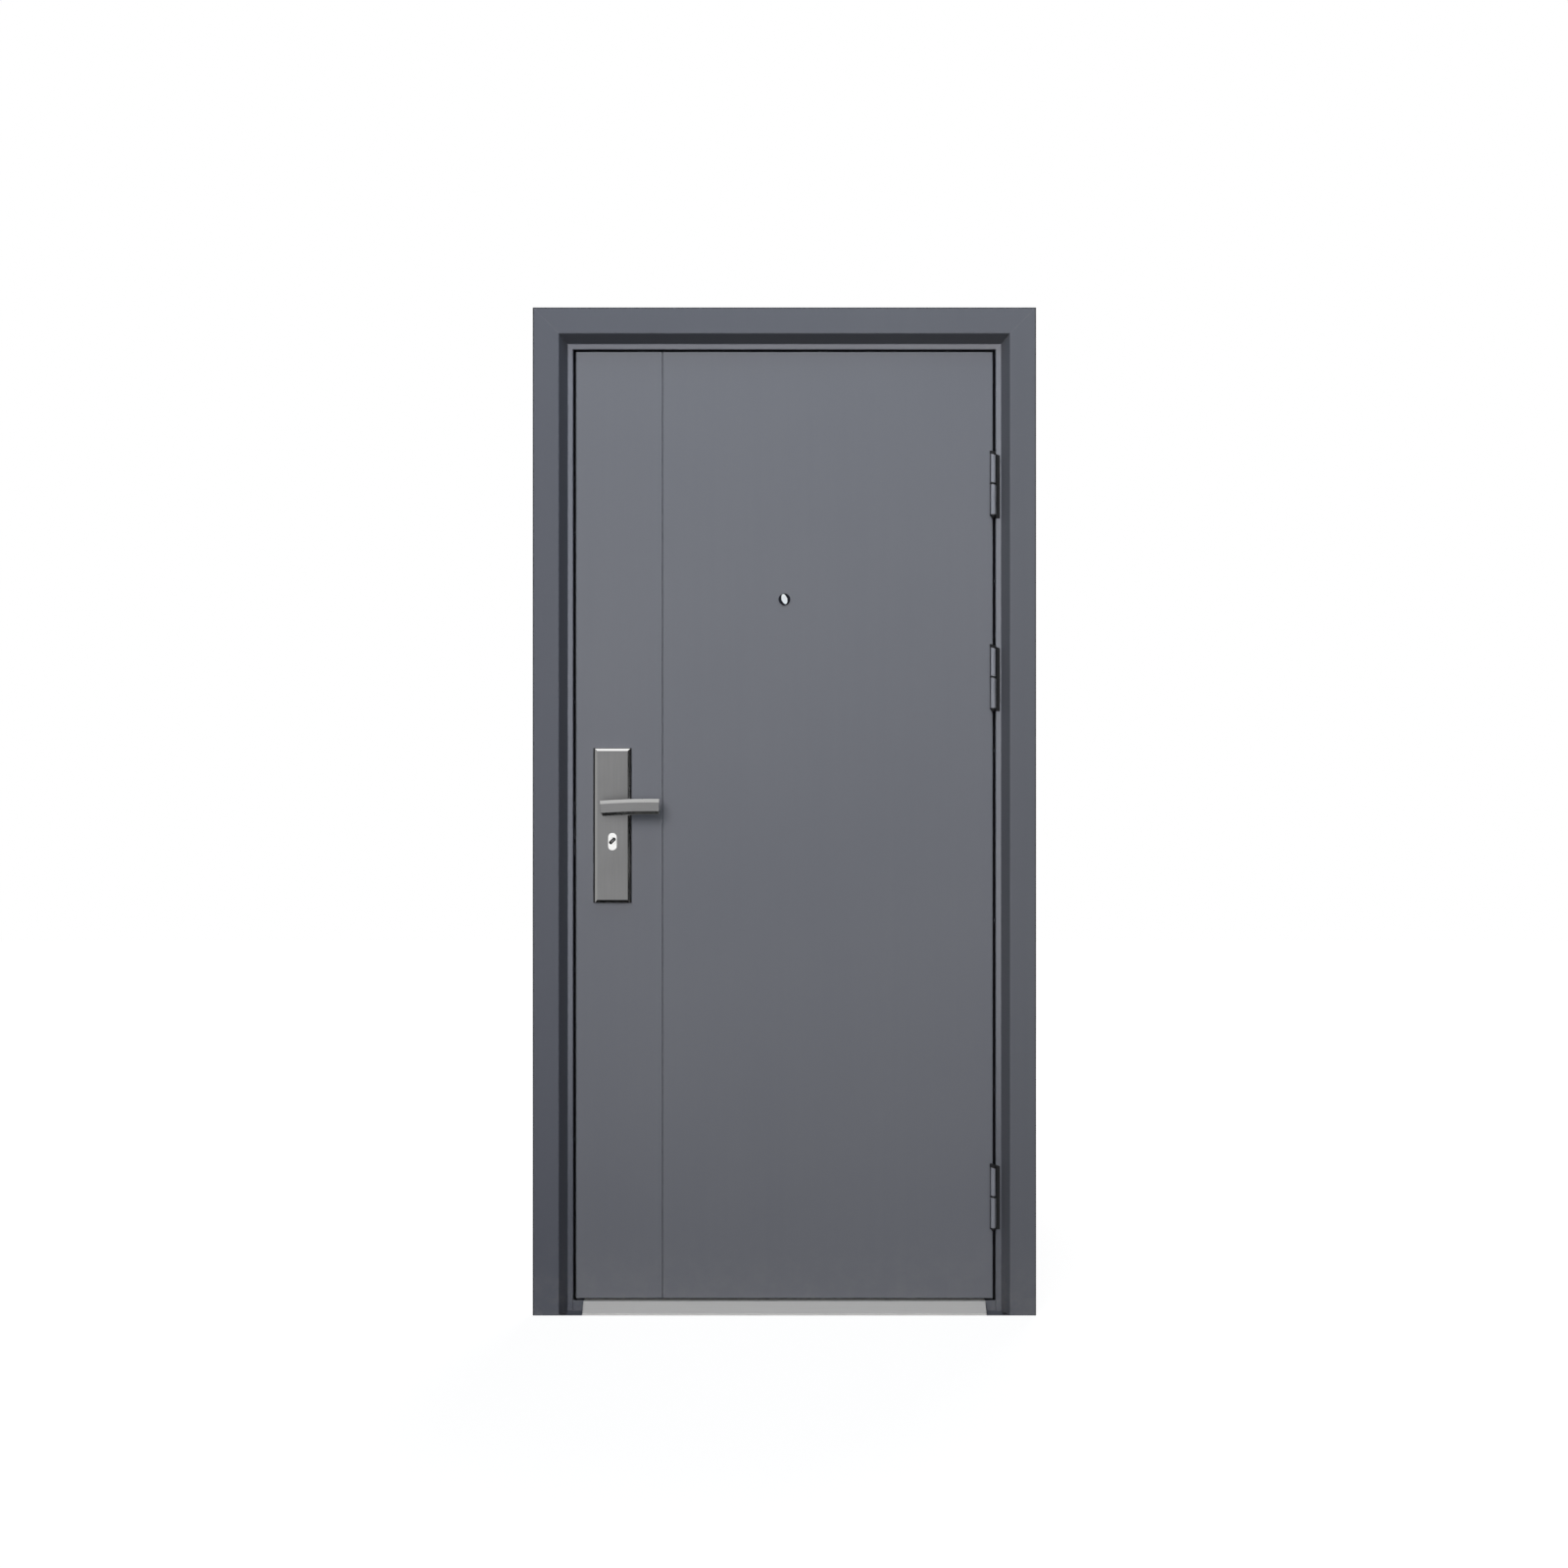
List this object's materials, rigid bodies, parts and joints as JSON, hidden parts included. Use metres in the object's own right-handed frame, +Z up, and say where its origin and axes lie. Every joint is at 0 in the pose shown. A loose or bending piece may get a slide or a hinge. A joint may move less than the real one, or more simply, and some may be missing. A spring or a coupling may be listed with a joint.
{
  "type": "steel security door",
  "caption": "Steel security door: folded bevelled frame with stainless sill, hollow sheet-steel leaf on lift-off hinges, lever lock plate, key cylinder and door viewer.",
  "frame": {"origin": "floor level, in the middle of the underside of the sill and at mid depth of the frame", "axes": "+Z up, outside of the door towards -Y, +X to the right seen from outside, where the hinges are"},
  "size_m": [1.024, 0.166, 2.05],
  "materials": {
    "frame_paint": "satin grey-blue powder coat",
    "leaf_paint": "satin grey-blue powder coat",
    "hinge_paint": "satin grey-blue powder coat",
    "sill_steel": "brushed stainless steel",
    "handle_steel": "brushed satin steel",
    "lock_steel": "zinc-plated steel",
    "cylinder_chrome": "bright nickel plate",
    "viewer_chrome": "dark bright plate",
    "viewer_glass": "clear lens",
    "seal_rubber": "matt black rubber"
  },
  "bodies": {
    "frame": {"lock_jamb": "frame_paint", "hinge_jamb": "frame_paint", "head": "frame_paint", "sill": "sill_steel", "keeper_box": "frame_paint", "lock_side_seal": "seal_rubber", "hinge_side_seal": "seal_rubber", "head_seal": "seal_rubber", "sill_seal": "seal_rubber", "lock_side_foot": "frame_paint", "hinge_side_foot": "frame_paint", "top_hinge_frame_half": "hinge_paint", "middle_hinge_frame_half": "hinge_paint", "bottom_hinge_frame_half": "hinge_paint", "top_hinge_pin": "lock_steel", "middle_hinge_pin": "lock_steel", "bottom_hinge_pin": "lock_steel", "top_hinge_pad": "seal_rubber", "middle_hinge_pad": "seal_rubber", "bottom_hinge_pad": "seal_rubber"},
    "leaf": {"front_skin": "leaf_paint", "back_skin": "leaf_paint", "top_channel": "leaf_paint", "bottom_channel": "leaf_paint", "lock_case": "lock_steel", "lock_faceplate": "lock_steel", "latch": "lock_steel", "lock_bolts": "lock_steel", "outside_plate": "handle_steel", "inside_plate": "handle_steel", "lock_cylinder": "cylinder_chrome", "viewer_bezel": "viewer_chrome", "viewer_lens": "viewer_glass", "viewer_eyepiece": "viewer_chrome", "top_hinge_leaf_half": "hinge_paint", "middle_hinge_leaf_half": "hinge_paint", "bottom_hinge_leaf_half": "hinge_paint"},
    "lever": {"outside_lever": "handle_steel", "inside_lever": "handle_steel", "spindle": "lock_steel"},
    "key_plug": {"key_plug": "cylinder_chrome"}
  },
  "joints": [
    {"name": "leaf_swing", "type": "hinge", "parent": "frame", "child": "leaf", "pos_m": [0.426, -0.032, 0], "axis": [0, 0, 1], "range_deg": [0, 150]},
    {"name": "lever_press", "type": "hinge", "parent": "leaf", "child": "lever", "pos_m": [-0.351, 0.005, 1.032], "axis": [0, 1, 0], "range_deg": [0, 45], "stiffness_Nm_per_rad": 2, "springref_deg": -20.05},
    {"name": "key_turn", "type": "hinge", "parent": "leaf", "child": "key_plug", "pos_m": [-0.351, 0.005, 0.9645], "axis": [0, 1, 0], "continuous": true}
  ]
}
